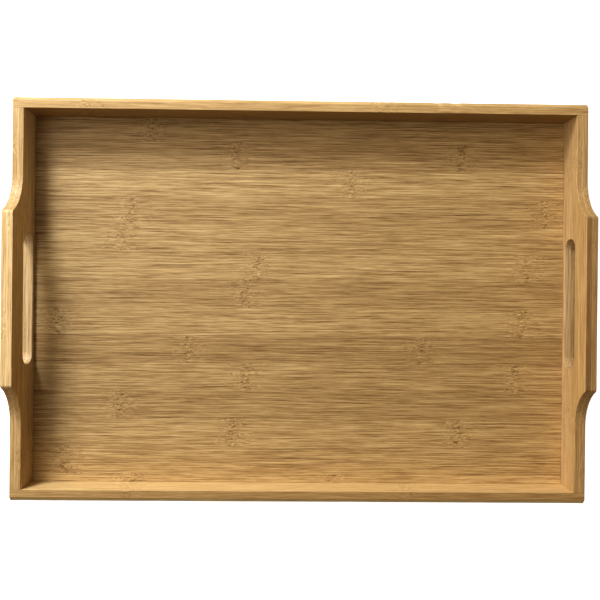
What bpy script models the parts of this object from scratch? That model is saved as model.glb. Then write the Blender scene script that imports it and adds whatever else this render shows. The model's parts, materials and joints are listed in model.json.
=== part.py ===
"""A bamboo serving tray with a raised handle and a hand slot at each end.

Metres, +Z up. The origin is the middle of the tray's footprint, on the surface that it stands
on. X runs along the tray from handle to handle, Y runs across it towards the back rail.

Two long rails cover the ends of two end panels, and each end panel is laminated from an inner
and an outer ply. The floor is edge-glued from narrow slats. It is rebated all round, and the
tongue that this leaves sits in a groove round the inside of the four walls. Two hidden dowels
hold each corner.
"""

import math

import bmesh
import bpy
from mathutils import Matrix, Vector

# Driving dimensions of the whole tray.
TRAY_LENGTH = 0.400
TRAY_WIDTH = 0.280
RAIL_HEIGHT = 0.032
HANDLE_HEIGHT = 0.050
RAIL_THICKNESS = 0.0080
PANEL_THICKNESS = 0.0078
GLUE_GAP = 0.0003  # left between any two pieces that are glued face to face

# The rails' outer top edge is planed off at 45 degrees, and their other long edges are eased.
RAIL_CHAMFER = 0.0026
RAIL_EASING = 0.0007

# The handle's flat top and the hollow shoulders that lead up to it.
HANDLE_FLAT_LENGTH = 0.118
SHOULDER_RADIUS = 0.030
SHOULDER_SEGMENTS = 14

# The hand slot, centred on each end panel.
SLOT_LENGTH = 0.092
SLOT_BOTTOM = 0.0114
SLOT_TOP = 0.0300
SLOT_CORNER_RADIUS = 0.008
SLOT_CORNER_SEGMENTS = 8

# The floor: slats that run along X, with their seams counted from the back.
FLOOR_TOP = 0.0080
SLAT_THICKNESS = 0.0044
TONGUE_THICKNESS = 0.0032
SLAT_PITCH = 0.0201
BACK_SEAM_Y = 0.1153
SEAM_COUNT = 13
GROOVE_DEPTH = 0.0025

# Corner dowels, which lie along Y on the joint between the two plies.
DOWEL_RADIUS = 0.0020
DOWEL_LENGTH = 0.020
DOWEL_DEPTH_IN_RAIL = 0.0045
DOWEL_HEIGHTS = {"lower": 0.0140, "upper": 0.0250}
DOWEL_SIDES = 16

# How far a cutter runs past what it cuts.
CUTTER_MARGIN = 0.010

# Places worked out from the driving dimensions.
INNER_X = TRAY_LENGTH / 2 - PANEL_THICKNESS  # inner face of an end panel
INNER_Y = TRAY_WIDTH / 2 - RAIL_THICKNESS  # inner face of a rail
PLY_THICKNESS = (PANEL_THICKNESS - GLUE_GAP) / 2
PLY_JOINT_X = TRAY_LENGTH / 2 - PANEL_THICKNESS / 2
FLOOR_BOTTOM = FLOOR_TOP - SLAT_THICKNESS
TONGUE_TOP = FLOOR_BOTTOM + TONGUE_THICKNESS

# Colours are linear red, green and blue.
FINISHES = {
    "floor_bamboo": ((0.474, 0.296, 0.130), 0.46),
    "rail_bamboo": ((0.500, 0.305, 0.125), 0.44),
    "panel_bamboo": ((0.455, 0.268, 0.105), 0.45),
    "dowel_beech": ((0.560, 0.400, 0.240), 0.60),
}


def clear_scene():
    for thing in list(bpy.data.objects):
        bpy.data.objects.remove(thing, do_unlink=True)


def make_finish(name):
    colour, roughness = FINISHES[name]
    finish = bpy.data.materials.new(name)
    finish.use_nodes = True
    shader = finish.node_tree.nodes["Principled BSDF"]
    shader.inputs["Base Color"].default_value = (*colour, 1.0)
    shader.inputs["Roughness"].default_value = roughness
    shader.inputs["Metallic"].default_value = 0.0
    return finish


def add_object(name, mesh_tools, finish=None):
    """Turns a bmesh into a named object in the scene."""
    bmesh.ops.recalc_face_normals(mesh_tools, faces=mesh_tools.faces)
    mesh = bpy.data.meshes.new(name)
    mesh_tools.to_mesh(mesh)
    mesh_tools.free()
    thing = bpy.data.objects.new(name, mesh)
    bpy.context.scene.collection.objects.link(thing)
    if finish:
        mesh.materials.append(finish)
    return thing


def extrude_outline(outline, direction):
    """A prism on a flat outline, carried along direction."""
    prism = bmesh.new()
    start = prism.faces.new([prism.verts.new(point) for point in outline])
    grown = bmesh.ops.extrude_face_region(prism, geom=[start])
    moved = [part for part in grown["geom"] if isinstance(part, bmesh.types.BMVert)]
    bmesh.ops.translate(prism, verts=moved, vec=direction)
    return prism


def block(low, high):
    """A rectangular block between two opposite corners."""
    low = Vector(low)
    high = Vector(high)
    solid = bmesh.new()
    bmesh.ops.create_cube(solid, size=1.0)
    bmesh.ops.scale(solid, verts=solid.verts, vec=high - low)
    bmesh.ops.translate(solid, verts=solid.verts, vec=(low + high) / 2)
    return solid


def rod(radius, length, middle):
    """A round rod along Y."""
    solid = bmesh.new()
    bmesh.ops.create_cone(
        solid,
        cap_ends=True,
        segments=DOWEL_SIDES,
        radius1=radius,
        radius2=radius,
        depth=length,
    )
    turn = Matrix.Rotation(math.radians(90), 3, "X")
    bmesh.ops.rotate(solid, verts=solid.verts, matrix=turn)
    bmesh.ops.translate(solid, verts=solid.verts, vec=middle)
    return solid


def shoulder_points():
    """One hollow shoulder in the YZ plane, from the rail's height up to the handle's end."""
    rise = HANDLE_HEIGHT - RAIL_HEIGHT
    sweep = math.acos(1 - rise / SHOULDER_RADIUS)
    foot_y = HANDLE_FLAT_LENGTH / 2 + SHOULDER_RADIUS * math.sin(sweep)
    points = []
    for step in range(SHOULDER_SEGMENTS + 1):
        angle = sweep * step / SHOULDER_SEGMENTS
        y = foot_y - SHOULDER_RADIUS * math.sin(angle)
        z = RAIL_HEIGHT + SHOULDER_RADIUS * (1 - math.cos(angle))
        points.append((y, z))
    return points


def ply_outline(x):
    """The end panel's outline at one x, anticlockwise seen from +X."""
    half = INNER_Y - GLUE_GAP
    right = [(half, 0.0), (half, RAIL_HEIGHT)] + shoulder_points()
    left = [(-y, z) for y, z in reversed(right)]
    return [(x, y, z) for y, z in right + left]


def rail_outline(side):
    """A rail's section at its left end: chamfered outside on top, eased elsewhere."""
    outer = TRAY_WIDTH / 2
    inner = INNER_Y
    ease = RAIL_EASING
    section = [
        (inner + ease, 0.0),
        (outer - ease, 0.0),
        (outer, ease),
        (outer, RAIL_HEIGHT - RAIL_CHAMFER),
        (outer - RAIL_CHAMFER, RAIL_HEIGHT),
        (inner + ease, RAIL_HEIGHT),
        (inner, RAIL_HEIGHT - ease),
        (inner, ease),
    ]
    return [(-TRAY_LENGTH / 2, side * y, z) for y, z in section]


def dowel_places():
    """Name and middle of each corner dowel."""
    middle_y = INNER_Y + DOWEL_DEPTH_IN_RAIL - DOWEL_LENGTH / 2
    for row, y_side in (("back", 1), ("front", -1)):
        for end, x_side in (("left", -1), ("right", 1)):
            for level, z in DOWEL_HEIGHTS.items():
                place = Vector((x_side * PLY_JOINT_X, y_side * middle_y, z))
                yield f"dowel_{row}_{end}_{level}", place


def slot_cutter():
    """A long bar with rounded corners, which cuts the hand slots of both end panels."""
    reach = TRAY_LENGTH / 2 + CUTTER_MARGIN
    half = SLOT_LENGTH / 2
    corners = [
        (-reach, -half, SLOT_BOTTOM),
        (-reach, half, SLOT_BOTTOM),
        (-reach, half, SLOT_TOP),
        (-reach, -half, SLOT_TOP),
    ]
    bar = extrude_outline(corners, (2 * reach, 0, 0))
    long_edges = [edge for edge in bar.edges if edge.calc_length() > TRAY_LENGTH]
    bmesh.ops.bevel(
        bar,
        geom=long_edges,
        affect="EDGES",
        offset=SLOT_CORNER_RADIUS,
        segments=SLOT_CORNER_SEGMENTS,
        profile=0.5,
        material=-1,
    )
    return add_object("slot_cutter", bar)


def groove_cutter():
    """A flat block, larger than the opening, which cuts the floor's groove in every wall."""
    reach_x = INNER_X + GROOVE_DEPTH
    reach_y = INNER_Y + GROOVE_DEPTH
    low = (-reach_x, -reach_y, FLOOR_BOTTOM - GLUE_GAP)
    high = (reach_x, reach_y, TONGUE_TOP + GLUE_GAP)
    return add_object("groove_cutter", block(low, high))


def rebate_cutter():
    """A rectangular ring, which cuts the floor's rim down to its tongue."""
    reach_x = INNER_X - GLUE_GAP + CUTTER_MARGIN
    reach_y = INNER_Y - GLUE_GAP + CUTTER_MARGIN
    corners = [
        (-reach_x, -reach_y, TONGUE_TOP),
        (reach_x, -reach_y, TONGUE_TOP),
        (reach_x, reach_y, TONGUE_TOP),
        (-reach_x, reach_y, TONGUE_TOP),
    ]
    ring = bmesh.new()
    sheet = ring.faces.new([ring.verts.new(corner) for corner in corners])
    sheet.normal_update()
    bmesh.ops.inset_region(
        ring,
        faces=[sheet],
        thickness=CUTTER_MARGIN,
        use_boundary=True,
        use_even_offset=True,
    )
    bmesh.ops.delete(ring, geom=[sheet], context="FACES_ONLY")
    grown = bmesh.ops.extrude_face_region(ring, geom=ring.faces[:])
    moved = [part for part in grown["geom"] if isinstance(part, bmesh.types.BMVert)]
    bmesh.ops.translate(ring, verts=moved, vec=(0, 0, CUTTER_MARGIN))
    return add_object("rebate_cutter", ring)


def dowel_hole_cutters():
    cutters = []
    for name, place in dowel_places():
        hole = rod(DOWEL_RADIUS + GLUE_GAP, DOWEL_LENGTH + 2 * GLUE_GAP, place)
        cutters.append(add_object(name + "_hole", hole))
    return cutters


def gather_cutters(name, cutters):
    """A collection of cutters, drawn as wire and never rendered."""
    group = bpy.data.collections.new(name)
    bpy.context.scene.collection.children.link(group)
    for cutter in cutters:
        bpy.context.scene.collection.objects.unlink(cutter)
        group.objects.link(cutter)
        cutter.display_type = "WIRE"
        cutter.hide_render = True
    return group


def cut(thing, group):
    step = thing.modifiers.new("cut", "BOOLEAN")
    step.operation = "DIFFERENCE"
    step.solver = "EXACT"
    step.operand_type = "COLLECTION"
    step.collection = group


def make_rails(finish, cutters):
    for name, side in (("back_rail", 1), ("front_rail", -1)):
        board = extrude_outline(rail_outline(side), (TRAY_LENGTH, 0, 0))
        cut(add_object(name, board, finish), cutters)


def make_end_panels(finish, cutters):
    outer_x = TRAY_LENGTH / 2 - PLY_THICKNESS
    for end, side in (("left", -1), ("right", 1)):
        for layer, near_x in (("inner", INNER_X), ("outer", outer_x)):
            ply = extrude_outline(ply_outline(side * near_x), (side * PLY_THICKNESS, 0, 0))
            cut(add_object(f"{end}_panel_{layer}", ply, finish), cutters)


def make_floor(finish, cutters):
    """Slats between the seams, and the two outer slats that reach into the rails' grooves."""
    edge_y = INNER_Y + GROOVE_DEPTH - GLUE_GAP
    reach_x = INNER_X + GROOVE_DEPTH - GLUE_GAP
    seams = [BACK_SEAM_Y - SLAT_PITCH * count for count in range(SEAM_COUNT)]
    backs = [edge_y] + [seam - GLUE_GAP / 2 for seam in seams]
    fronts = [seam + GLUE_GAP / 2 for seam in seams] + [-edge_y]
    for number, (back, front) in enumerate(zip(backs, fronts), start=1):
        slat = block((-reach_x, front, FLOOR_BOTTOM), (reach_x, back, FLOOR_TOP))
        cut(add_object(f"floor_slat_{number:02d}", slat, finish), cutters)


def make_dowels(finish):
    for name, place in dowel_places():
        dowel = add_object(name, rod(DOWEL_RADIUS, DOWEL_LENGTH, place), finish)
        dowel.data.shade_smooth()
        dowel.data.set_sharp_from_angle(angle=math.radians(40))


def main():
    clear_scene()
    wall_cutters = [slot_cutter(), groove_cutter(), *dowel_hole_cutters()]
    wall_cuts = gather_cutters("wall_cuts", wall_cutters)
    floor_cuts = gather_cutters("floor_cuts", [rebate_cutter()])
    make_rails(make_finish("rail_bamboo"), wall_cuts)
    make_end_panels(make_finish("panel_bamboo"), wall_cuts)
    make_floor(make_finish("floor_bamboo"), floor_cuts)
    make_dowels(make_finish("dowel_beech"))


main()
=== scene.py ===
# %% [markdown]
# # A bamboo serving tray
# The tray is twenty-eight boards, slats and dowels that are glued together. Its measured solids come
# from the imported frame, so no size is worked out here: this lesson gives every visible board its
# eased edges, its tight joints and its grain. The first cell loads those solids.

# %% Load the measured tray
import json
import math

import bmesh
import bpy
from mathutils import Matrix, Vector, noise

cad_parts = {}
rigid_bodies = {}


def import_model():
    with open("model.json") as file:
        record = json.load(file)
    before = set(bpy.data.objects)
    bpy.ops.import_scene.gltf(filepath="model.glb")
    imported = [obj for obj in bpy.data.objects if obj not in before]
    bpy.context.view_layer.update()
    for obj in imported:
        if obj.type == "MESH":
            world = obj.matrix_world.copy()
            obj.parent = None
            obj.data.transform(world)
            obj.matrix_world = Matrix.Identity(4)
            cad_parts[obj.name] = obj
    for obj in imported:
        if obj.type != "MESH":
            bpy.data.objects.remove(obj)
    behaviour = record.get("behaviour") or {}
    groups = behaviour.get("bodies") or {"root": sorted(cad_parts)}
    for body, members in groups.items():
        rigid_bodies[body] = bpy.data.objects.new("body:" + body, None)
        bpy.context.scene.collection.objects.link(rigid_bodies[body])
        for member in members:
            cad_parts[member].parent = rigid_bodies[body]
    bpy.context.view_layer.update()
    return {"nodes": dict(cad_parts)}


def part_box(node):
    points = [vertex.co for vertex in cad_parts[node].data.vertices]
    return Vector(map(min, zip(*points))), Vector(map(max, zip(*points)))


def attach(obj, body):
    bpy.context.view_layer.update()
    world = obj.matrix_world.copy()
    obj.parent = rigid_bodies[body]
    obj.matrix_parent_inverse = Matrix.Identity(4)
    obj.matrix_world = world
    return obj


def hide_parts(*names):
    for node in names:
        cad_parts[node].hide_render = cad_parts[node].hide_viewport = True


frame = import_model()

# %% [markdown]
# ## Where the boards are
# Every place below is read from the measured solids. A rail is one of the two long walls, and an
# end panel is a short wall with a handle, laminated from an inner and an outer ply. The hand
# slot and the hollow shoulders have no box of their own, so their sizes are read from the
# corner points of the right panel's outer ply.

# %% Read the main sizes
rail_low, rail_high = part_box("back_rail")
inner_low, inner_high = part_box("right_panel_inner")
outer_low, outer_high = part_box("right_panel_outer")
HALF_LENGTH = outer_high.x
HALF_WIDTH = rail_high.y
RAIL_INNER_Y = rail_low.y
RAIL_HEIGHT = rail_high.z
PANEL_INNER_X = inner_low.x
HANDLE_HEIGHT = outer_high.z
JOINT_X = (inner_high.x + outer_low.x) / 2
HALF_JOINT = (outer_low.x - inner_high.x) / 2
print("walls", round(1000 * RAIL_HEIGHT, 1), "mm high, handles", round(1000 * HANDLE_HEIGHT, 1), "mm")

# %% Read the hand slot
ABOVE = 0.0005  # clear of a flat edge by this much
SAME = 1e-5  # two heights closer than this are one
ply_points = [vertex.co for vertex in frame["nodes"]["right_panel_outer"].data.vertices]
HANDLE_HALF = max(p.y for p in ply_points if p.z > HANDLE_HEIGHT - ABOVE)
slot_points = [p for p in ply_points if abs(p.y) < HANDLE_HALF and ABOVE < p.z < HANDLE_HEIGHT - ABOVE]
SLOT_HALF = max(p.y for p in slot_points)
SLOT_LOW = min(p.z for p in slot_points)
SLOT_HIGH = max(p.z for p in slot_points)
SLOT_CORNER = SLOT_HALF - max(p.y for p in slot_points if p.z < SLOT_LOW + SAME)
print("slot", round(2000 * SLOT_HALF), "by", round(1000 * (SLOT_HIGH - SLOT_LOW), 1), "mm")

# %% Read the shoulders
slope = [p for p in ply_points if RAIL_HEIGHT - SAME < p.z < HANDLE_HEIGHT and p.y > HANDLE_HALF]
SHOULDER_FOOT_Y = min(p.y for p in slope if p.z < RAIL_HEIGHT + SAME)
shoulder_rise = HANDLE_HEIGHT - RAIL_HEIGHT
shoulder_run = SHOULDER_FOOT_Y - HANDLE_HALF
SHOULDER_SWEEP = 2 * math.atan2(shoulder_rise, shoulder_run)
SHOULDER_RADIUS = shoulder_run / math.sin(SHOULDER_SWEEP)
print("shoulder radius", round(1000 * SHOULDER_RADIUS, 1), "mm")

# %% [markdown]
# ## The camera
# The tray is looked at from straight above, at arm's length, through a lens of normal length. A
# longer lens from further off would flatten the walls away. The camera hangs almost over the
# tray's middle and is turned by less than a degree about each axis, as a hand-held one is. The
# plain view transform keeps the bamboo's own colours.

# %% Set the camera
CAMERA_PLACE = (-0.0084, 0.0017, 0.5354)
CAMERA_TURN = (-0.09, -0.91, 0.56)  # degrees about X, Y and Z
CAMERA_LENS = 43.5
SENSOR_WIDTH = 36.0
NEAREST_SEEN = 0.01
camera_data = bpy.data.cameras.new("camera")
camera_data.lens = CAMERA_LENS
camera_data.sensor_width = SENSOR_WIDTH
camera_data.clip_start = NEAREST_SEEN
camera = bpy.data.objects.new("camera", camera_data)
camera.location = CAMERA_PLACE
camera.rotation_euler = [math.radians(angle) for angle in CAMERA_TURN]
bpy.context.scene.collection.objects.link(camera)
bpy.context.scene.camera = camera
bpy.context.scene.view_settings.view_transform = "Standard"
print("camera", round(CAMERA_PLACE[2] - RAIL_HEIGHT, 3), "m above the rim")

# %% [markdown]
# ## The lamp
# One lamp stands low behind the tray's left corner, so the walls throw long soft shadows to the
# right and forwards, and the faces that look at it glow. It is the size of a small softbox: a
# bare bulb would give hard shadows, and a large panel would wash them out. It is aimed beyond
# the tray's left end, so that the right end gets a little less light.

# %% Set the lamp
LAMP_PLACE = Vector((-0.49, 0.835, 0.54))
LAMP_TARGET = Vector((-0.80, 0.0, 0.0))
LAMP_DIAMETER = 0.32
LAMP_POWER = 12.8
lamp_data = bpy.data.lights.new("softbox", "AREA")
lamp_data.shape = "DISK"
lamp_data.size = LAMP_DIAMETER
lamp_data.energy = LAMP_POWER
lamp = bpy.data.objects.new("softbox", lamp_data)
lamp.location = LAMP_PLACE
lamp.rotation_euler = (LAMP_PLACE - LAMP_TARGET).to_track_quat("Z", "Y").to_euler()
bpy.context.scene.collection.objects.link(lamp)
print("lamp", round(LAMP_PLACE.length, 2), "m away")

# %% [markdown]
# ## The sky
# A weak warm sky, brightest on the lamp's side, fills the shadows. Most of the light in a shadow
# has bounced off bamboo, so it is warmer than the lamp's own. A second lamp could fill them too,
# but it would throw shadows of its own. The sky grows brighter the closer a direction points to
# its bright side.

# %% Set the sky
SKY_COLOUR = (1.0, 0.86, 0.68, 1.0)
SKY_BRIGHT_SIDE = Vector((-0.68, 0.34, 0.65)).normalized()
SKY_BRIGHTEST = 1.9
SKY_AROUND = 0.08
SKY_GLOW_STARTS = 0.5  # the cosine of the angle from the bright side where its glow begins
sky = bpy.data.worlds.new("sky")
sky.use_nodes = True
backdrop = sky.node_tree.nodes["Background"]
backdrop.inputs["Color"].default_value = SKY_COLOUR
direction = sky.node_tree.nodes.new("ShaderNodeTexCoord")
towards = sky.node_tree.nodes.new("ShaderNodeVectorMath")
towards.operation = "DOT_PRODUCT"
towards.inputs[1].default_value = SKY_BRIGHT_SIDE
glow = sky.node_tree.nodes.new("ShaderNodeMapRange")
glow.interpolation_type = "SMOOTHSTEP"
glow.inputs["From Min"].default_value = SKY_GLOW_STARTS
glow.inputs["To Min"].default_value = SKY_AROUND
glow.inputs["To Max"].default_value = SKY_BRIGHTEST
sky.node_tree.links.new(direction.outputs["Generated"], towards.inputs[0])
sky.node_tree.links.new(towards.outputs["Value"], glow.inputs["Value"])
sky.node_tree.links.new(glow.outputs["Result"], backdrop.inputs["Strength"])
bpy.context.scene.world = sky
print("sky from", SKY_AROUND, "to", SKY_BRIGHTEST)

# %% [markdown]
# ## The studio floor
# The tray lies on a floor so pale that it burns out to white. A matt floor under this lamp would
# be grey and full of shadow, so this one glows of its own. The tray doesn't see that glow, or it
# would light the walls from below. The floor reaches so far that only a very low view finds its
# horizon, and it lies a hair below the tray so that the two surfaces don't fight.

# %% Lay the studio floor
FLOOR_REACH = 20.0
FLOOR_DROP = 0.0002
FLOOR_PAINT = (0.8, 0.8, 0.8, 1.0)
FLOOR_ROUGHNESS = 0.9
FLOOR_GLOW = 0.97
floor_shape = bmesh.new()
bmesh.ops.create_grid(floor_shape, x_segments=1, y_segments=1, size=FLOOR_REACH)
bmesh.ops.translate(floor_shape, verts=floor_shape.verts, vec=(0, 0, -FLOOR_DROP))
floor_mesh = bpy.data.meshes.new("studio_floor")
floor_shape.to_mesh(floor_mesh)
floor_shape.free()
floor_paint = bpy.data.materials.new("studio_floor_paint")
floor_paint.use_nodes = True
paint = floor_paint.node_tree.nodes["Principled BSDF"]
paint.inputs["Base Color"].default_value = FLOOR_PAINT
paint.inputs["Roughness"].default_value = FLOOR_ROUGHNESS
paint.inputs["Emission Color"].default_value = (1.0, 1.0, 1.0, 1.0)
paint.inputs["Emission Strength"].default_value = FLOOR_GLOW
floor_mesh.materials.append(floor_paint)
studio_floor = bpy.data.objects.new("studio_floor", floor_mesh)
bpy.context.scene.collection.objects.link(studio_floor)
studio_floor.visible_diffuse = False
studio_floor.visible_glossy = False
print("floor", 2 * FLOOR_REACH, "m square")

# %% [markdown]
# ## How a pattern is wired
# A material is a chain of small steps. The helpers below add one step each and hand back the
# socket it makes, so that a pattern reads from top to bottom like a recipe.


# %% Helpers for one step
def feed(tree, socket, value):
    """Links a socket, or sets a plain number, colour or vector."""
    if isinstance(value, bpy.types.NodeSocket):
        tree.links.new(value, socket)
    else:
        socket.default_value = value


def sum_up(tree, operation, *values, clamp=False):
    """One step of arithmetic."""
    step = tree.nodes.new("ShaderNodeMath")
    step.operation = operation
    step.use_clamp = clamp
    for socket, value in zip(step.inputs, values):
        feed(tree, socket, value)
    return step.outputs[0]


def slide(tree, value, low, high, start=0.0, end=1.0):
    """Goes smoothly from start to end as value goes from low to high, and stays there beyond."""
    step = tree.nodes.new("ShaderNodeMapRange")
    step.interpolation_type = "SMOOTHSTEP"
    step.clamp = True
    for name, number in (("From Min", low), ("From Max", high), ("To Min", start), ("To Max", end)):
        step.inputs[name].default_value = number
    feed(tree, step.inputs["Value"], value)
    return step.outputs["Result"]


# %% [markdown]
# Patterns are placed in the tray's own metres, so a fibre is as thick on one board as on the
# next. Blender's noise has cells about one metre wide in every direction. Dividing the place by
# a long thin cell first stretches them, and the cells become fibres.


# %% Helpers for places and noise
def take_apart(tree, vector):
    """The three numbers of a vector."""
    split = tree.nodes.new("ShaderNodeSeparateXYZ")
    tree.links.new(vector, split.inputs[0])
    return split.outputs[0], split.outputs[1], split.outputs[2]


def pack_up(tree, values):
    """Three numbers as one vector."""
    gather = tree.nodes.new("ShaderNodeCombineXYZ")
    for socket, value in zip(gather.inputs, values):
        feed(tree, socket, value)
    return gather.outputs[0]


def object_place(tree):
    """The point that is being coloured, in metres from the tray's middle."""
    return take_apart(tree, tree.nodes.new("ShaderNodeTexCoord").outputs["Object"])


def in_cells(tree, place, cell):
    """A place counted in cells of the given length, width and depth in metres."""
    return pack_up(tree, [sum_up(tree, "MULTIPLY", way, 1 / size) for way, size in zip(place, cell)])


def stretched_noise(tree, place, cell, detail=2.0, roughness=0.5):
    """Noise from about -1 to 1."""
    cloud = tree.nodes.new("ShaderNodeTexNoise")
    cloud.noise_dimensions = "3D"
    cloud.inputs["Scale"].default_value = 1.0
    cloud.inputs["Detail"].default_value = detail
    cloud.inputs["Roughness"].default_value = roughness
    tree.links.new(in_cells(tree, place, cell), cloud.inputs["Vector"])
    centred = sum_up(tree, "SUBTRACT", cloud.outputs["Fac"], 0.5)
    return sum_up(tree, "MULTIPLY", centred, 4.0)


# %% [markdown]
# ## Bamboo
# A bamboo board is pressed from strips of cane. Under its satin lacquer one sees fine fibres
# that run with the cane: short dark bundles, paler gaps between them and a few faint streaks.
# Every 15 to 35 centimetres the cane had a node, and there the fibres are short and crinkled.
# An image could hold all this, but it would repeat and blur. Noise stretched along the grain
# gives the same fibres at any distance, in depth as well, so edges and faces agree.
#
# Each board will store three facts. `board` holds the tone of every face, which on the rails and panels
# is partly painted light and shade, and the places of up to two nodes along the grain. The second fact
# is a painted falloff of light: how much that tone grows in a metre along the grain, towards the lamp.
# `grain_start` shifts the noise, so that no two boards share their fibres.

# %% The fibres' sizes and the stored facts
# (length, width and depth of a cell of noise, in metres)
FIBRE_CELL = (0.034, 0.00055, 0.00055)
BREAK_CELL = (0.0100, 0.00055, 0.00055)
STREAK_CELL = (0.110, 0.0016, 0.0016)
CLOUD_CELL = (0.110, 0.0065, 0.0065)
DRIFT_CELL = (0.090, 0.016, 0.016)
CRINKLE_CELL = (0.0036, 0.0022, 0.0022)
SPECKLE_CELL = (0.0056, 0.00095, 0.00095)


def stored(tree, name):
    """What a board stores under a name."""
    fact = tree.nodes.new("ShaderNodeAttribute")
    fact.attribute_name = name
    return fact.outputs


print("fibres", 1000 * FIBRE_CELL[0], "mm long and", 1000 * FIBRE_CELL[1], "mm wide")

# %% [markdown]
# ### The cane's nodes
# A node is a narrow band of short, crinkled fibres with a ragged edge, and the fibres around it
# still bend. It could be drawn as a shape on every board, but the distance to the nearer of a
# board's two nodes is enough to place both the band and the bending.

# %% Nodes and bends
NODE_CORE = 0.0012  # the crinkled band is full up to here, to each side of a node
NODE_REACH = 0.0050  # and it ends here
NODE_RAGGED = 0.0016
NODE_PULL = 0.020  # how far from a node the fibres still bend
CRINKLE_BEND = 0.0005
DRIFT_BEND = 0.0001


def near_a_node(tree, place, first_node, second_node):
    """The crinkle, the node's narrow band and its wide pull."""
    to_first = sum_up(tree, "ABSOLUTE", sum_up(tree, "SUBTRACT", place[0], first_node))
    to_second = sum_up(tree, "ABSOLUTE", sum_up(tree, "SUBTRACT", place[0], second_node))
    away = sum_up(tree, "MINIMUM", to_first, to_second)
    crinkle = stretched_noise(tree, place, CRINKLE_CELL, detail=1.0)
    ragged = sum_up(tree, "MULTIPLY_ADD", crinkle, NODE_RAGGED, away)
    band = slide(tree, ragged, NODE_CORE, NODE_REACH, 1.0, 0.0)
    pull = slide(tree, away, 0.0, NODE_PULL, 1.0, 0.0)
    return crinkle, band, pull


def bent_place(tree, place, crinkle, band, pull):
    """The point's place in the grain, which drifts a little sideways and crinkles at a node."""
    along, across, depth = place
    run = sum_up(tree, "ADD", along, stored(tree, "grain_start")["Fac"])
    drift = stretched_noise(tree, (run, across, depth), DRIFT_CELL, detail=1.0)
    bend = sum_up(tree, "MULTIPLY", crinkle, sum_up(tree, "MULTIPLY", pull, CRINKLE_BEND))
    bend = sum_up(tree, "MULTIPLY_ADD", sum_up(tree, "MULTIPLY", crinkle, band), CRINKLE_BEND, bend)
    shift = sum_up(tree, "MULTIPLY_ADD", drift, DRIFT_BEND, bend)
    return run, sum_up(tree, "ADD", across, shift), sum_up(tree, "ADD", depth, shift)


print("a node's band is", 2000 * NODE_REACH, "mm wide")

# %% [markdown]
# ### The fibres' lightness
# Five layers of noise add up to one lightness, where 1 is the board's own tone: long fibres,
# the breaks in them, faint streaks, wide clouds, and the speckle of a node. Near a node the
# long fibres are calmer, and the speckle takes over. One layer with more detail would be
# simpler, but then long and short marks could not each be given their own strength.

# %% Layers of fibre
FIBRE_CONTRAST = 0.60
BREAK_SHARE = 0.60
STREAK_CONTRAST = 0.03
CLOUD_CONTRAST = 0.05
SPECKLE_CONTRAST = 0.66
NODE_DARKENING = 0.08
NODE_CALM = 0.35


def fibre_light(tree, grain, band, fibre, knot):
    """Lightness about 1, then the long fibres, the streaks and the speckle it is made from."""
    fibres = stretched_noise(tree, grain, FIBRE_CELL, detail=1.0, roughness=0.6)
    breaks = stretched_noise(tree, grain, BREAK_CELL, roughness=0.6)
    streaks = stretched_noise(tree, grain, STREAK_CELL)
    clouds = stretched_noise(tree, grain, CLOUD_CELL)
    speckle = sum_up(tree, "MULTIPLY", stretched_noise(tree, grain, SPECKLE_CELL, detail=1.0), band)
    calm = sum_up(tree, "SUBTRACT", 1.0, sum_up(tree, "MULTIPLY", band, NODE_CALM))
    light = sum_up(tree, "MULTIPLY_ADD", breaks, BREAK_SHARE, fibres)
    light = sum_up(tree, "MULTIPLY", sum_up(tree, "MULTIPLY", light, calm), FIBRE_CONTRAST * fibre)
    light = sum_up(tree, "MULTIPLY_ADD", streaks, STREAK_CONTRAST * fibre, light)
    light = sum_up(tree, "MULTIPLY_ADD", clouds, CLOUD_CONTRAST, light)
    light = sum_up(tree, "MULTIPLY_ADD", speckle, SPECKLE_CONTRAST * knot, light)
    light = sum_up(tree, "MULTIPLY_ADD", band, -NODE_DARKENING * knot, light)
    return sum_up(tree, "ADD", light, 1.0), fibres, streaks, speckle


print("contrast of the fibres", FIBRE_CONTRAST, "and of a node's speckle", SPECKLE_CONTRAST)

# %% [markdown]
# ### From lightness to colour
# Dark fibres in bamboo are warmer than pale ones. Raising one lightness to a power of its own
# for red, green and blue gives that: blue falls fastest and red slowest. A ramp between two
# colours could do it too, but then each tone of board would need its own ramp. An end panel is a
# tall board, glued from two strips, and its lower strip is a little greyer. The glue between the
# two plies of a panel shows on its edges as a pale line.

# %% Colour of the fibres
WARMTH = (0.85, 1.06, 1.38)
GREYER = (0.0, 0.04, 0.20)
STRIP_TOP = 0.0262  # the seam between the two strips of an end panel
STRIP_SEAM = 0.0002
GLUE_LIGHT = 0.35
GLUE_FULL = 0.0002  # the glue is palest up to here, to each side of the joint
GLUE_REACH = 0.0006  # and its line ends here


def with_glue_line(tree, light, x):
    """Adds the pale line over the joint between the two plies of a panel."""
    off_joint = sum_up(tree, "SUBTRACT", sum_up(tree, "ABSOLUTE", x), JOINT_X)
    glue = slide(tree, sum_up(tree, "ABSOLUTE", off_joint), GLUE_FULL, GLUE_REACH, GLUE_LIGHT, 0.0)
    return sum_up(tree, "ADD", light, glue)


def on_lower_strip(tree, height):
    """1 on the lower of a panel's two strips, and 0 on the upper one."""
    return slide(tree, height, STRIP_TOP - STRIP_SEAM, STRIP_TOP + STRIP_SEAM, 1.0, 0.0)


def fibre_colour(tree, light, base, lower_strip=None):
    """Three colours from one lightness, a little greyer on a lower strip."""
    colours = []
    for colour, power, grey in zip(base, WARMTH, GREYER):
        shade = sum_up(tree, "POWER", light, power)
        if lower_strip is not None:
            greyer = sum_up(tree, "MULTIPLY_ADD", lower_strip, grey, 1.0)
            shade = sum_up(tree, "MULTIPLY", shade, greyer)
        colours.append(sum_up(tree, "MULTIPLY", shade, colour))
    return colours


print("the strips of a panel meet", round(1000 * STRIP_TOP, 1), "mm above the table")

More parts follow.
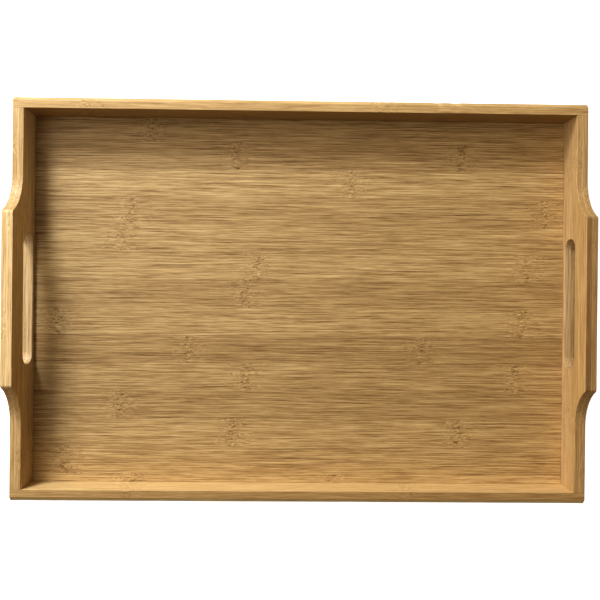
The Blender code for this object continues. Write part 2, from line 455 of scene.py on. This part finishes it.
# %% [markdown]
# ### Sawn ends
# Where a board is sawn across, the bundles of fibre show as dots in a greyer ground. They could
# be a second material, but then every board would need one more slot. The surface's own
# direction tells enough: it points along the grain only on a sawn end. The cells of the pattern
# are drawn out far along the grain, so the dots keep their places however deep the saw went.

# %% Colour of a sawn end
SAWN_FROM = 0.90  # how squarely a face must look along the grain to count as sawn
SAWN_SHARE = 0.8
SAWN_GROUND = (0.36, 0.22, 0.095)
BUNDLE_CELL = (0.0009, 0.0009, 50.0)  # twice across the grain, then along it
BUNDLE_EDGE = (0.15, 0.42)  # a dot gives way to the ground this far from its middle, in cells
BUNDLE_TONES = (0.50, 0.95)  # the dot's and the ground's


def on_sawn_end(tree, along_x):
    """1 where the surface looks along the grain."""
    normal = take_apart(tree, tree.nodes.new("ShaderNodeNewGeometry").outputs["Normal"])
    facing = sum_up(tree, "ABSOLUTE", normal[0 if along_x else 1])
    return slide(tree, facing, SAWN_FROM, 1.0)


def sawn_colour(tree, place, tone):
    """Dark dots in a greyer ground."""
    along, across, depth = place
    bundles = tree.nodes.new("ShaderNodeTexVoronoi")
    bundles.inputs["Scale"].default_value = 1.0
    tree.links.new(in_cells(tree, (across, depth, along), BUNDLE_CELL), bundles.inputs["Vector"])
    dots = slide(tree, bundles.outputs["Distance"], *BUNDLE_EDGE, *BUNDLE_TONES)
    light = sum_up(tree, "MULTIPLY", dots, tone)
    return [sum_up(tree, "MULTIPLY", light, colour) for colour in SAWN_GROUND]


print("bundles", 1000 * BUNDLE_CELL[0], "mm apart")

# %% [markdown]
# ### The lacquer
# The tray has a thin satin lacquer. It lies thinner over dark, open fibres, so those are
# rougher, and the fibres can just be felt through it: a bump of a few hundredths of a millimetre
# breaks the highlights up along the grain. Cutting so fine a relief into the mesh would need
# millions of faces. A thin clear coat on top gives the soft sheen.

# %% Lacquer
SATIN = 0.54
SATIN_CHANGE = -0.06
FELT_STREAKS = 0.6
FELT_SPECKLE = 0.8
FIBRE_RELIEF = 0.00003
SHEEN_LEVEL = 0.42
COAT_WEIGHT = 0.05
COAT_ROUGHNESS = 0.30


def add_lacquer(tree, shader, fibres, streaks, speckle):
    """Roughness and relief from the fibres, and a thin coat."""
    gloss = sum_up(tree, "MULTIPLY_ADD", fibres, SATIN_CHANGE, SATIN, clamp=True)
    tree.links.new(gloss, shader.inputs["Roughness"])
    height = sum_up(tree, "MULTIPLY_ADD", streaks, FELT_STREAKS, fibres)
    height = sum_up(tree, "MULTIPLY_ADD", speckle, FELT_SPECKLE, height)
    relief = tree.nodes.new("ShaderNodeBump")
    relief.inputs["Strength"].default_value = 1.0
    relief.inputs["Distance"].default_value = FIBRE_RELIEF
    tree.links.new(height, relief.inputs["Height"])
    tree.links.new(relief.outputs["Normal"], shader.inputs["Normal"])
    shader.inputs["Specular IOR Level"].default_value = SHEEN_LEVEL
    shader.inputs["Coat Weight"].default_value = COAT_WEIGHT
    shader.inputs["Coat Roughness"].default_value = COAT_ROUGHNESS


print("relief", round(1000 * FIBRE_RELIEF, 2), "mm deep")

# %% [markdown]
# ### Three kinds of board
# The slats of the floor, the rails and the end panels were planed from different cane. The
# floor's strips lie flat and show bold fibres and knots, and rails and panels stand on edge and
# look calmer. A panel's grain runs across the tray, not along it. One material for all would
# need all these facts on every board, so there are three, made by one function.

# %% Make the bamboo
DARKEST = 0.12  # no fibre is darker than this


def make_bamboo(name, along_x, base, fibre=1.0, knot=1.0, panel=False):
    """Lacquered bamboo whose grain runs along X, or along Y if along_x is false."""
    finish = bpy.data.materials.new(name)
    finish.use_nodes = True
    tree = finish.node_tree
    shader = tree.nodes["Principled BSDF"]
    x, y, z = object_place(tree)
    place = (x, y, z) if along_x else (y, x, z)
    tone, first_node, second_node = take_apart(tree, stored(tree, "board")["Vector"])
    # painted light: the tone grows along the grain by the board's painted falloff of light, towards the
    # lamp
    tone = sum_up(tree, "MULTIPLY_ADD", place[0], stored(tree, "painted_falloff")["Fac"], tone)

    crinkle, band, pull = near_a_node(tree, place, first_node, second_node)
    grain = bent_place(tree, place, crinkle, band, pull)
    light, fibres, streaks, speckle = fibre_light(tree, grain, band, fibre, knot)
    if panel:
        light = with_glue_line(tree, light, x)
    light = sum_up(tree, "MAXIMUM", sum_up(tree, "MULTIPLY", light, tone), DARKEST)
    colours = fibre_colour(tree, light, base, on_lower_strip(tree, z) if panel else None)

    blend = tree.nodes.new("ShaderNodeMix")
    blend.data_type = "RGBA"
    feed(tree, blend.inputs["Factor"], sum_up(tree, "MULTIPLY", on_sawn_end(tree, along_x), SAWN_SHARE))
    tree.links.new(pack_up(tree, colours), blend.inputs["A"])
    tree.links.new(pack_up(tree, sawn_colour(tree, place, tone)), blend.inputs["B"])
    tree.links.new(blend.outputs["Result"], shader.inputs["Base Color"])
    add_lacquer(tree, shader, fibres, streaks, speckle)
    return finish


floor_bamboo = make_bamboo("floor_bamboo", True, (0.450, 0.285, 0.108))
rail_bamboo = make_bamboo("rail_bamboo", True, (0.490, 0.300, 0.108), fibre=0.7, knot=0.6)
panel_bamboo = make_bamboo("panel_bamboo", False, (0.480, 0.294, 0.110), 0.7, 0.4, panel=True)
print("bamboo has", len(floor_bamboo.node_tree.nodes), "steps")

# %% [markdown]
# ## From a shape to a piece
# A finished shape becomes an object at the origin, unturned and unscaled, with its place in its
# mesh. It is shaded smooth, but its edges stay crisp: a weighted normal keeps the broad faces
# flat and lets only the narrow eased edges roll the light.

# %% Finish a board
SMOOTH_ANGLE = math.radians(35)  # edges that turn more than this stay sharp
GRAIN_STEP = 0.713  # how far the noise is shifted from one board to the next
pieces_made = []


def to_object(name, shape, finish=None):
    mesh = bpy.data.meshes.new(name)
    shape.to_mesh(mesh)
    shape.free()
    if finish:
        mesh.materials.append(finish)
    thing = bpy.data.objects.new(name, mesh)
    bpy.context.scene.collection.objects.link(thing)
    return thing


def shade_board(piece):
    """Smooth over eased edges, flat on broad faces."""
    piece.data.shade_smooth()
    piece.data.set_sharp_from_angle(angle=SMOOTH_ANGLE)
    flatten = piece.modifiers.new("flat_faces", "WEIGHTED_NORMAL")
    flatten.keep_sharp = True


def store_facts(mesh, nodes, tone_and_painted_falloff):
    """Keeps the facts that the bamboo asks for. A board with a single node names it twice."""
    boards = []
    painted_falloffs = []
    for face in mesh.polygons:
        # each face's tone, partly painted light on the walls, and its painted falloff of light
        tone, painted_falloff = tone_and_painted_falloff(face)
        boards += [tone, nodes[0], nodes[-1]]
        painted_falloffs.append(painted_falloff)
    starts = [GRAIN_STEP * (1 + len(pieces_made))] * len(mesh.vertices)
    mesh.attributes.new("board", "FLOAT_VECTOR", "FACE").data.foreach_set("vector", boards)
    mesh.attributes.new("painted_falloff", "FLOAT", "FACE").data.foreach_set("value", painted_falloffs)
    mesh.attributes.new("grain_start", "FLOAT", "POINT").data.foreach_set("value", starts)


def finish_board(piece, node, nodes, tone_and_painted_falloff):
    """Shades the board, stores its facts and lets it stand for its measured solid."""
    shade_board(piece)
    store_facts(piece.data, nodes, tone_and_painted_falloff)
    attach(piece, "root")
    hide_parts(node)
    pieces_made.append(piece)
    return piece


print("edges sharper than", round(math.degrees(SMOOTH_ANGLE)), "degrees stay crisp")

# %% [markdown]
# ## Tools for shaping
# Slats and rails start as a block, boards are cut where they meet another one, and their edges
# are eased. The three helpers below are those three jobs. A cube with modifiers would do as well,
# but a shape that is made step by step can be looked at and printed after each step.

# %% Shape a board
SHORTEST_CUT = 1e-7  # a point closer to the cut than this counts as on it


def block(low, high):
    """A box between two opposite corners."""
    low, high = Vector(low), Vector(high)
    shape = bmesh.new()
    bmesh.ops.create_cube(shape, size=1.0)
    bmesh.ops.scale(shape, verts=shape.verts, vec=high - low)
    bmesh.ops.translate(shape, verts=shape.verts, vec=(low + high) / 2)
    return shape


def cut_at(shape, place, direction, clear=False):
    """Cuts the whole shape with a plane, and can throw away what lies beyond it."""
    bmesh.ops.bisect_plane(
        shape,
        geom=shape.verts[:] + shape.edges[:] + shape.faces[:],
        dist=SHORTEST_CUT,
        plane_co=place,
        plane_no=direction,
        clear_outer=clear,
    )


def ease(shape, edges, width, segments=3):
    """Rounds edges over."""
    bmesh.ops.bevel(
        shape,
        geom=edges,
        affect="EDGES",
        offset=width,
        segments=segments,
        profile=0.5,
        material=-1,
        clamp_overlap=True,
    )


# %% [markdown]
# ## The floor slats
# The floor is strips of cane about 20 mm wide, glued edge to edge. Each was planed from its own
# cane, so tones differ from strip to strip and the nodes fall at odd places. The rim of the
# floor is cut down to a tongue, which sits in a groove in the walls. One box with a texture of
# stripes would look alike from far off, but here each strip is its own piece: a plate with a
# raised field, whose arrises are just broken, as sandpaper leaves them.

# %% Tone and nodes of every slat, from back to front
# (tone, places of the nodes along the slat in metres from the middle)
SLATS = [
    (0.94, (-0.108,)),
    (0.92, (-0.047, 0.117)),
    (1.16, (0.037,)),
    (0.97, (-0.122, 0.178)),
    (1.05, (-0.130,)),
    (1.09, (-0.031, 0.165)),
    (0.93, (-0.040,)),
    (1.08, (-0.175, 0.162)),
    (0.83, (-0.080, 0.089)),
    (0.98, (-0.039, 0.158)),
    (0.89, (-0.130,)),
    (1.02, (-0.048, 0.116)),
    (1.01, (-0.169,)),
    (1.18, (-0.122, 0.024)),
]
# painted shade: a falloff of the lamp's light painted along every slat, darker away from the lamp
SLAT_PAINTED_FALLOFF = -0.45  # every slat is a little darker towards its right end
print(len(SLATS), "slats with", sum(len(nodes) for tone, nodes in SLATS), "nodes")

# %% [markdown]
# The measured slats keep a glue gap between them. Real seams can hardly be seen, so each slat
# grows a little towards its neighbours. It starts as a thin plate of the tongue's thickness, is
# cut where the field ends, and the part between the cuts is raised to the floor's top.

# %% Read the tongue and the field
WALL_GAP = 0.00012
SEAM_CLOSING = 0.00014  # closes each measured glue gap to a hairline
ARRIS = 0.00010
FIELD_X = PANEL_INNER_X - WALL_GAP
FIELD_Y = RAIL_INNER_Y - WALL_GAP
slat_low, slat_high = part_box("floor_slat_01")
FLOOR_TOP = slat_high.z
slat_points = [vertex.co for vertex in frame["nodes"]["floor_slat_07"].data.vertices]
TONGUE_TOP = sorted({round(p.z, 6) for p in slat_points})[1]
print("tongue", round(1000 * (TONGUE_TOP - slat_low.z), 1), "mm thick")

# %% Make the slats
LOOKS_UP = 0.9
ON_EDGE = 0.75  # a face that looks less squarely than this along an axis is on an edge


def in_field(face):
    """Whether a face of the plate lies on top and inside the walls."""
    middle = face.calc_center_median()
    return face.normal.z > LOOKS_UP and abs(middle.x) < FIELD_X and abs(middle.y) < FIELD_Y


def shape_slat(low, high, front, back):
    slat = block((low.x, front, low.z), (high.x, back, TONGUE_TOP))
    for x in (-FIELD_X, FIELD_X):
        cut_at(slat, (x, 0, 0), (1, 0, 0))
    for y in (-FIELD_Y, FIELD_Y):
        if front < y < back:
            cut_at(slat, (0, y, 0), (0, 1, 0))
    grown = bmesh.ops.extrude_face_region(slat, geom=[face for face in slat.faces if in_field(face)])
    raised = [part for part in grown["geom"] if isinstance(part, bmesh.types.BMVert)]
    bmesh.ops.translate(slat, verts=raised, vec=(0, 0, FLOOR_TOP - TONGUE_TOP))
    rim = [e for e in slat.edges if all(v.co.z > FLOOR_TOP - SAME for v in e.verts)]
    ease(slat, rim, ARRIS, segments=2)
    return slat


def make_slat(number, tone, nodes):
    def tone_and_painted_falloff(face):
        return tone, SLAT_PAINTED_FALLOFF if abs(face.normal.x) < ON_EDGE else 0.0

    node = f"floor_slat_{number:02d}"
    low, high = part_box(node)
    back = high.y if number == 1 else high.y + SEAM_CLOSING
    front = low.y if number == len(SLATS) else low.y - SEAM_CLOSING
    piece = to_object(f"bamboo_slat_{number:02d}", shape_slat(low, high, front, back), floor_bamboo)
    return finish_board(piece, node, nodes, tone_and_painted_falloff)


slats = [make_slat(number, *facts) for number, facts in enumerate(SLATS, start=1)]
print("slats made:", len(slats), "widest", round(1000 * max(s.dimensions.y for s in slats), 2), "mm")

# %% [markdown]
# ## Hidden cuts
# The walls are grooved for the floor's tongue, and drilled for the corner dowels. Neither cut
# shows on the finished tray, but each wall is a real piece that could be taken apart. A Boolean
# takes the tongue's and the dowels' spaces out of a wall, and its result becomes the wall's mesh.

# %% Make the cutters
CUT_CLEARANCE = 0.0002
HOLE_SIDES = 24
DOWEL_NODES = sorted(name for name in frame["nodes"] if name.startswith("dowel"))
cutters = bpy.data.collections.new("cutters")
bpy.context.scene.collection.children.link(cutters)


def add_cutter(name, shape):
    cutter = to_object(name, shape)
    bpy.context.scene.collection.objects.unlink(cutter)
    cutters.objects.link(cutter)


def dowel_hole(low, high):
    """A cylinder along Y, a little wider than the dowel."""
    hole = bmesh.new()
    radius = (high.z - low.z) / 2 + CUT_CLEARANCE
    bmesh.ops.create_cone(
        hole,
        cap_ends=True,
        segments=HOLE_SIDES,
        radius1=radius,
        radius2=radius,
        depth=high.y - low.y,
    )
    bmesh.ops.rotate(hole, verts=hole.verts, matrix=Matrix.Rotation(math.pi / 2, 3, "X"))
    bmesh.ops.translate(hole, verts=hole.verts, vec=(low + high) / 2)
    return hole


tongue_reach = Vector((slat_high.x, slat_high.y, 0)) + Vector((CUT_CLEARANCE, CUT_CLEARANCE, 0))
groove_low = -tongue_reach + Vector((0, 0, slat_low.z - CUT_CLEARANCE))
groove_high = tongue_reach + Vector((0, 0, TONGUE_TOP + CUT_CLEARANCE))
add_cutter("groove", block(groove_low, groove_high))
for node in DOWEL_NODES:
    add_cutter(f"hole_{node}", dowel_hole(*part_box(node)))


# %% Cut a wall
def cut_hidden_spaces(piece):
    """Takes every cutter out of a wall, and keeps the result as its mesh."""
    step = piece.modifiers.new("hidden_cuts", "BOOLEAN")
    step.operation = "DIFFERENCE"
    step.solver = "EXACT"
    step.operand_type = "COLLECTION"
    step.collection = cutters
    seen = piece.evaluated_get(bpy.context.evaluated_depsgraph_get())
    cut_mesh = bpy.data.meshes.new_from_object(seen)
    piece.modifiers.clear()
    piece.data = cut_mesh
    return piece


# %% [markdown]
# ## The rails
# A rail is a plain board. Its outer top edge is planed off at 45 degrees, which keeps a hip or a
# hand from meeting a sharp corner, and every other edge is just eased. A bevel with a single
# segment makes the chamfer and one with three segments eases the rest. The board is then cut
# into many short lengths, so that its chamfer can be worn.

# %% Shape a rail
CHAMFER = 0.0026
RAIL_EASING = 0.0003
RAIL_LENGTHS = 240
CREASE = 0.5  # radians: edges that turn more than this are eased


def lengthways(rail):
    """The edges that run the rail's whole length."""
    return [e for e in rail.edges if abs(e.verts[0].co.x - e.verts[1].co.x) > HALF_LENGTH]


def shape_rail(node, side):
    rail = block(*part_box(node))
    corner = []
    for edge in lengthways(rail):
        middle = (edge.verts[0].co + edge.verts[1].co) / 2
        if middle.z > RAIL_HEIGHT / 2 and abs(middle.y - side * HALF_WIDTH) < ABOVE:
            corner.append(edge)
    ease(rail, corner, CHAMFER, segments=1)
    bmesh.ops.recalc_face_normals(rail, faces=rail.faces)
    ease(rail, [e for e in rail.edges if e.calc_face_angle(0.0) > CREASE], RAIL_EASING)
    bmesh.ops.subdivide_edges(rail, edges=lengthways(rail), cuts=RAIL_LENGTHS, use_grid_fill=True)
    return rail


# %% [markdown]
# The chamfer was cut by a hand plane, so its two arrises wander by a tenth of a millimetre, and
# its face is a little torn. The back rail also took three nicks, side by side. Every point of
# the chamfer is nudged into the wood by smooth noise: a slow wave for the wandering and a quick
# one for the tears. A random number for each point would look like sand instead of wear.

# %% Wear a rail's chamfer
WEAR_DEPTH = 0.00016
EVEN_SHARE = 0.5  # of that depth everywhere,
WANDER_SHARE = 0.6  # more or less of it where the plane wandered,
TEAR_SHARE = 0.5  # and more where it tore
NICK_EVEN = 0.6  # the same two shares for a nick's own depth
NICK_TEAR = 0.8
WANDER_WAVES = (45, 3.1, 300)  # (waves in a metre along, shift between the rails, waves upwards)
TEAR_WAVES = (420, 7.7, 900)
PLAIN_END = 0.002  # the last bit at each end stays as it was cut
BACK_NICKS = [(0.094, 0.0005, 0.004), (0.107, 0.0007, 0.005), (0.121, 0.0004, 0.004)]


def wave(point, side, waves):
    """Smooth noise from about -1 to 1, other noise on the other rail."""
    return noise.noise(Vector((point.x * waves[0], side * waves[1], point.z * waves[2])))


def worn_depth(point, side, nicks):
    """How deep a point of the chamfer is worn. A nick is its place, depth and half length."""
    tear = wave(point, side, TEAR_WAVES)
    shares = EVEN_SHARE + WANDER_SHARE * wave(point, side, WANDER_WAVES) + TEAR_SHARE * max(tear, 0.0)
    depth = WEAR_DEPTH * shares
    for place, nick_depth, reach in nicks:
        nearness = max(0.0, 1 - abs(point.x - place) / reach)
        depth += nick_depth * nearness * (NICK_EVEN + NICK_TEAR * abs(tear))
    return max(depth, 0.0)


def wear_chamfer(rail, side, nicks):
    into_wood = Vector((0, -side, -1)).normalized()
    for vertex in rail.verts:
        below_corner = (HALF_WIDTH - abs(vertex.co.y)) + (RAIL_HEIGHT - vertex.co.z)
        on_chamfer = below_corner < CHAMFER + RAIL_EASING
        if on_chamfer and abs(vertex.co.x) < HALF_LENGTH - PLAIN_END:
            vertex.co += into_wood * worn_depth(vertex.co, side, nicks)


print("nicks", [round(1000 * depth, 1) for place, depth, reach in BACK_NICKS], "mm deep")

# %% [markdown]
# The face, the top and the chamfer of a rail each have a tone of their own. Partly these are the cane's
# own layers, and partly painted light and shade: the front rail's inner face, which looks towards the
# lamp, is painted lighter than the back rail's shaded one, the back rail's top, nearer the lamp, is
# painted lighter than the front rail's, and the chamfers carry painted light too. Along each rail a
# painted falloff of light darkens it towards its right end, away from the lamp. A face's place and the
# way it looks tell which of the three it belongs to.

# %% Make the rails
SLOPING = (0.5, 0.9)  # how squarely a chamfer looks outwards, at least and at most


# painted light: the face, top and chamfer tones are lightened or darkened by how the lamp's light falls
# on them, and a painted falloff darkens the rail away from the lamp
def make_rail(node, side, tone, top_tone_and_painted_light, chamfer_tone_and_painted_light, painted_falloff, nodes, nicks=()):
    def tone_and_painted_falloff(face):
        outwards = abs(face.normal.y)
        on_top = face.center.z > RAIL_HEIGHT - ABOVE
        if on_top and outwards < ON_EDGE:
            return top_tone_and_painted_light, painted_falloff
        if not on_top and face.center.z > RAIL_HEIGHT / 2 and SLOPING[0] < outwards < SLOPING[1]:
            return chamfer_tone_and_painted_light, painted_falloff
        return tone, painted_falloff

    rail = shape_rail(node, side)
    wear_chamfer(rail, side, nicks)
    piece = cut_hidden_spaces(to_object(f"bamboo_{node}", rail, rail_bamboo))
    return finish_board(piece, node, nodes, tone_and_painted_falloff)


# (tone of the face, the top and the chamfer, partly painted light and shade, then the painted falloff
# of light, nodes and nicks)
back_rail = make_rail("back_rail", 1, 0.70, 1.20, 1.45, -0.5, (-0.150, 0.060), BACK_NICKS)
front_rail = make_rail("front_rail", -1, 1.60, 0.84, 1.75, -0.7, (0.076, -0.120))
print("rails made:", len(back_rail.data.vertices), "points in the back one")

# %% [markdown]
# ## The end panels
# An end panel rises in two hollow shoulders to a flat handle, over a slot for four fingers. It
# could be cut from a board with Booleans, but then its rounded edges would need a second tool.
# Here one flat sheet is drawn first: a shoulder is a point spun round the shoulder's centre, the
# other half is its mirror image, and the slot's corners are bevelled points.

# %% Draw half of the outline
SHOULDER_STEPS = 28
END_GAP = 0.00003  # between the end of a panel and the rail
END_MARGIN = 0.004  # how far the sheet runs on past the panel's end, before it is cut off
PANEL_END_Y = RAIL_INNER_Y - END_GAP


def draw_half(sheet, x):
    """From the handle's middle over the shoulder, down the end and along the foot."""
    foot = sheet.verts.new((x, SHOULDER_FOOT_Y, RAIL_HEIGHT))
    spun = bmesh.ops.spin(
        sheet,
        geom=[foot],
        cent=(x, SHOULDER_FOOT_Y, RAIL_HEIGHT + SHOULDER_RADIUS),
        axis=(1, 0, 0),
        dvec=(0, 0, 0),
        angle=-SHOULDER_SWEEP,
        steps=SHOULDER_STEPS,
        use_merge=False,
        use_duplicate=False,
    )
    tip = [part for part in spun["geom_last"] if isinstance(part, bmesh.types.BMVert)][0]
    heel = sheet.verts.new((x, PANEL_END_Y + END_MARGIN, RAIL_HEIGHT))
    toe = sheet.verts.new((x, PANEL_END_Y + END_MARGIN, 0))
    sole = sheet.verts.new((x, 0, 0))
    top = sheet.verts.new((x, 0, HANDLE_HEIGHT))
    for pair in ((tip, top), (foot, heel), (heel, toe), (toe, sole)):
        sheet.edges.new(pair)


print("panels end", round(1000 * PANEL_END_Y, 2), "mm from the middle")

# %% [markdown]
# The drawn half is mirrored, and the points where the shoulders meet the handle are rounded as a
# file would round them. The slot is a rectangle with bevelled corners. Filling the whole drawing
# with triangles leaves the slot open, because its outline lies inside the other one.

# %% Draw the panel's face
TIP_ROUNDING = 0.0015
TIP_SEGMENTS = 4
SLOT_SEGMENTS = 10
SAME_POINT = 1e-6
NEARLY = 1e-4  # a point closer to the tip than this is the tip


def round_points(sheet, points, width, segments):
    bmesh.ops.bevel(
        sheet,
        geom=points,
        affect="VERTICES",
        offset=width,
        segments=segments,
        profile=0.5,
        material=-1,
    )


def is_tip(point):
    """Whether a point is where a shoulder meets the handle's flat top."""
    return abs(abs(point.y) - HANDLE_HALF) + HANDLE_HEIGHT - point.z < NEARLY


def draw_slot(sheet, x):
    corners = []
    for y, z in ((-1, SLOT_LOW), (1, SLOT_LOW), (1, SLOT_HIGH), (-1, SLOT_HIGH)):
        corners.append(sheet.verts.new((x, y * SLOT_HALF, z)))
    sheet.faces.new(corners)
    round_points(sheet, corners, SLOT_CORNER, SLOT_SEGMENTS)
    bmesh.ops.delete(sheet, geom=sheet.faces[:], context="FACES_ONLY")


def panel_sheet(x):
    """The panel's flat face at one x, with the slot left open."""
    sheet = bmesh.new()
    draw_half(sheet, x)
    half = sheet.verts[:] + sheet.edges[:]
    bmesh.ops.mirror(sheet, geom=half, axis="Y", matrix=Matrix.Identity(4), merge_dist=SAME_POINT)
    bmesh.ops.remove_doubles(sheet, verts=sheet.verts, dist=SAME_POINT)
    round_points(sheet, [v for v in sheet.verts if is_tip(v.co)], TIP_ROUNDING, TIP_SEGMENTS)
    draw_slot(sheet, x)
    bmesh.ops.triangle_fill(sheet, use_beauty=True, edges=sheet.edges[:], normal=(1, 0, 0))
    return sheet


# %% [markdown]
# The sheet is extruded into a ply, from its glued side to just short of its open side. The face
# there is then inset a few times, each time a little further out: the steps follow a quarter
# circle, which rounds the outline and the slot's edge in one go. A bevel of the same edges would
# have to be told which they are. At last the ends are cut off square, where they meet the rails.

# %% Shape a ply
EASING_STEPS = 4


def ease_outline(ply, cap, width):
    """Rounds the whole outline of a face over in steps of a quarter circle."""
    for step in range(EASING_STEPS):
        before = math.radians(90 * step / EASING_STEPS)
        after = math.radians(90 * (step + 1) / EASING_STEPS)
        bmesh.ops.inset_region(
            ply,
            faces=cap,
            thickness=width * (math.cos(before) - math.cos(after)),
            depth=width * (math.sin(after) - math.sin(before)),
            use_even_offset=True,
        )


def shape_ply(glue_x, face_x, easing):
    side = math.copysign(1.0, face_x - glue_x)
    ply = panel_sheet(glue_x)
    grown = bmesh.ops.extrude_face_region(ply, geom=ply.faces[:])
    cap = [part for part in grown["geom"] if isinstance(part, bmesh.types.BMFace)]
    moved = [part for part in grown["geom"] if isinstance(part, bmesh.types.BMVert)]
    bmesh.ops.translate(ply, verts=moved, vec=(face_x - glue_x - side * easing, 0, 0))
    bmesh.ops.recalc_face_normals(ply, faces=ply.faces)
    ease_outline(ply, cap, easing)
    for end in (-1, 1):
        cut_at(ply, (0, end * PANEL_END_Y, 0), (0, end, 0), clear=True)
    bmesh.ops.holes_fill(ply, edges=ply.edges, sides=0)
    bmesh.ops.recalc_face_normals(ply, faces=ply.faces)
    return ply


# %% [markdown]
# The two plies of a panel meet on their flat sides, and here too the measured gap is closed to a
# hairline. The broad face, the rim and the handle's top of a ply have tones of their own. Partly these
# are the cane's own layers, such as the darker inner ply of the right handle, and partly painted light
# and shade: the left panel's inner face, which turns from the lamp, is painted lighter to fill its
# shade, and the left panel's handle, which catches much of the lamp's light, carries a painted
# highlight and is paler than its face. The falloffs along the edges and along the face are painted
# light too: lighter towards the back, where the lamp stands. Four rows of facts and one function make
# all four plies.

# %% Make the four plies
# (tones of the face, the rim and the handle's top, partly painted light and shade, painted falloff of
# light on the edges and on the face, nodes)
PLIES = {
    "left_panel_inner": (1.50, 1.20, 1.85, 1.2, 3.5, (0.056, -0.110)),
    "left_panel_outer": (1.32, 1.25, 1.80, 1.3, 0.0, (-0.020, 0.105)),
    "right_panel_inner": (1.12, 0.92, 0.46, 1.0, 0.3, (0.098, -0.075)),
    "right_panel_outer": (0.90, 0.94, 0.74, 1.0, 0.0, (-0.118, 0.040)),
}
INNER_EASING = 0.0005
OUTER_EASING = 0.0003
JOINT_CLOSING = 0.00012


# painted light: the ply's tones carry painted light and shade, and its falloffs are painted falloffs of
# the lamp's light
def make_ply(node, tone, rim_tone_and_painted_light, handle_tone_and_painted_light, edge_painted_falloff, face_painted_falloff, nodes):
    def tone_and_painted_falloff(face):
        if abs(face.normal.x) >= ON_EDGE:
            return tone, face_painted_falloff
        if face.center.z > HANDLE_HEIGHT - ABOVE:
            return handle_tone_and_painted_light, edge_painted_falloff
        if face.center.z > RAIL_HEIGHT - ABOVE:
            return rim_tone_and_painted_light, edge_painted_falloff
        return tone, edge_painted_falloff

    side = -1 if "left" in node else 1
    off_joint = HALF_JOINT - JOINT_CLOSING
    if "outer" in node:
        ply = shape_ply(side * (JOINT_X + off_joint), side * HALF_LENGTH, OUTER_EASING)
    else:
        ply = shape_ply(side * (JOINT_X - off_joint), side * PANEL_INNER_X, INNER_EASING)
    piece = cut_hidden_spaces(to_object(f"bamboo_{node}", ply, panel_bamboo))
    return finish_board(piece, node, nodes, tone_and_painted_falloff)


panels = [make_ply(node, *facts) for node, facts in PLIES.items()]
print("plies made:", [len(ply.data.polygons) for ply in panels], "faces")

# %% [markdown]
# ## Clearing the bench
# The cutters have done their work, and every wall keeps its own cut mesh. They were never part
# of the tray, so they go before it is measured. Hiding them would leave them in the file.

# %% Take the cutters away
for cutter in list(cutters.objects):
    bpy.data.objects.remove(cutter, do_unlink=True)
bpy.data.collections.remove(cutters)

# %% [markdown]
# ## The dowels
# The eight corner dowels are hidden inside the joints. Their measured solids are right as they
# are, so they only get a wood of their own: raw beech, with darker flecks along the dowel.

# %% Give the dowels their wood
FLECK_CELL = (0.006, 0.0005, 0.0005)
FLECK_EDGE = 0.8
BEECH_DARK = (0.42, 0.27, 0.14, 1.0)
BEECH_PALE = (0.62, 0.46, 0.28, 1.0)
BEECH_ROUGHNESS = 0.6


def make_dowel_wood():
    wood = bpy.data.materials.new("dowel_beech")
    wood.use_nodes = True
    tree = wood.node_tree
    shader = tree.nodes["Principled BSDF"]
    x, y, z = object_place(tree)
    flecks = stretched_noise(tree, (y, x, z), FLECK_CELL)
    colours = tree.nodes.new("ShaderNodeMix")
    colours.data_type = "RGBA"
    colours.inputs["A"].default_value = BEECH_DARK
    colours.inputs["B"].default_value = BEECH_PALE
    feed(tree, colours.inputs["Factor"], slide(tree, flecks, -FLECK_EDGE, FLECK_EDGE))
    tree.links.new(colours.outputs["Result"], shader.inputs["Base Color"])
    shader.inputs["Roughness"].default_value = BEECH_ROUGHNESS
    return wood


dowel_wood = make_dowel_wood()
for node in DOWEL_NODES:
    dowel_mesh = frame["nodes"][node].data
    dowel_mesh.materials.clear()
    dowel_mesh.materials.append(dowel_wood)
print("dowels:", len(DOWEL_NODES))
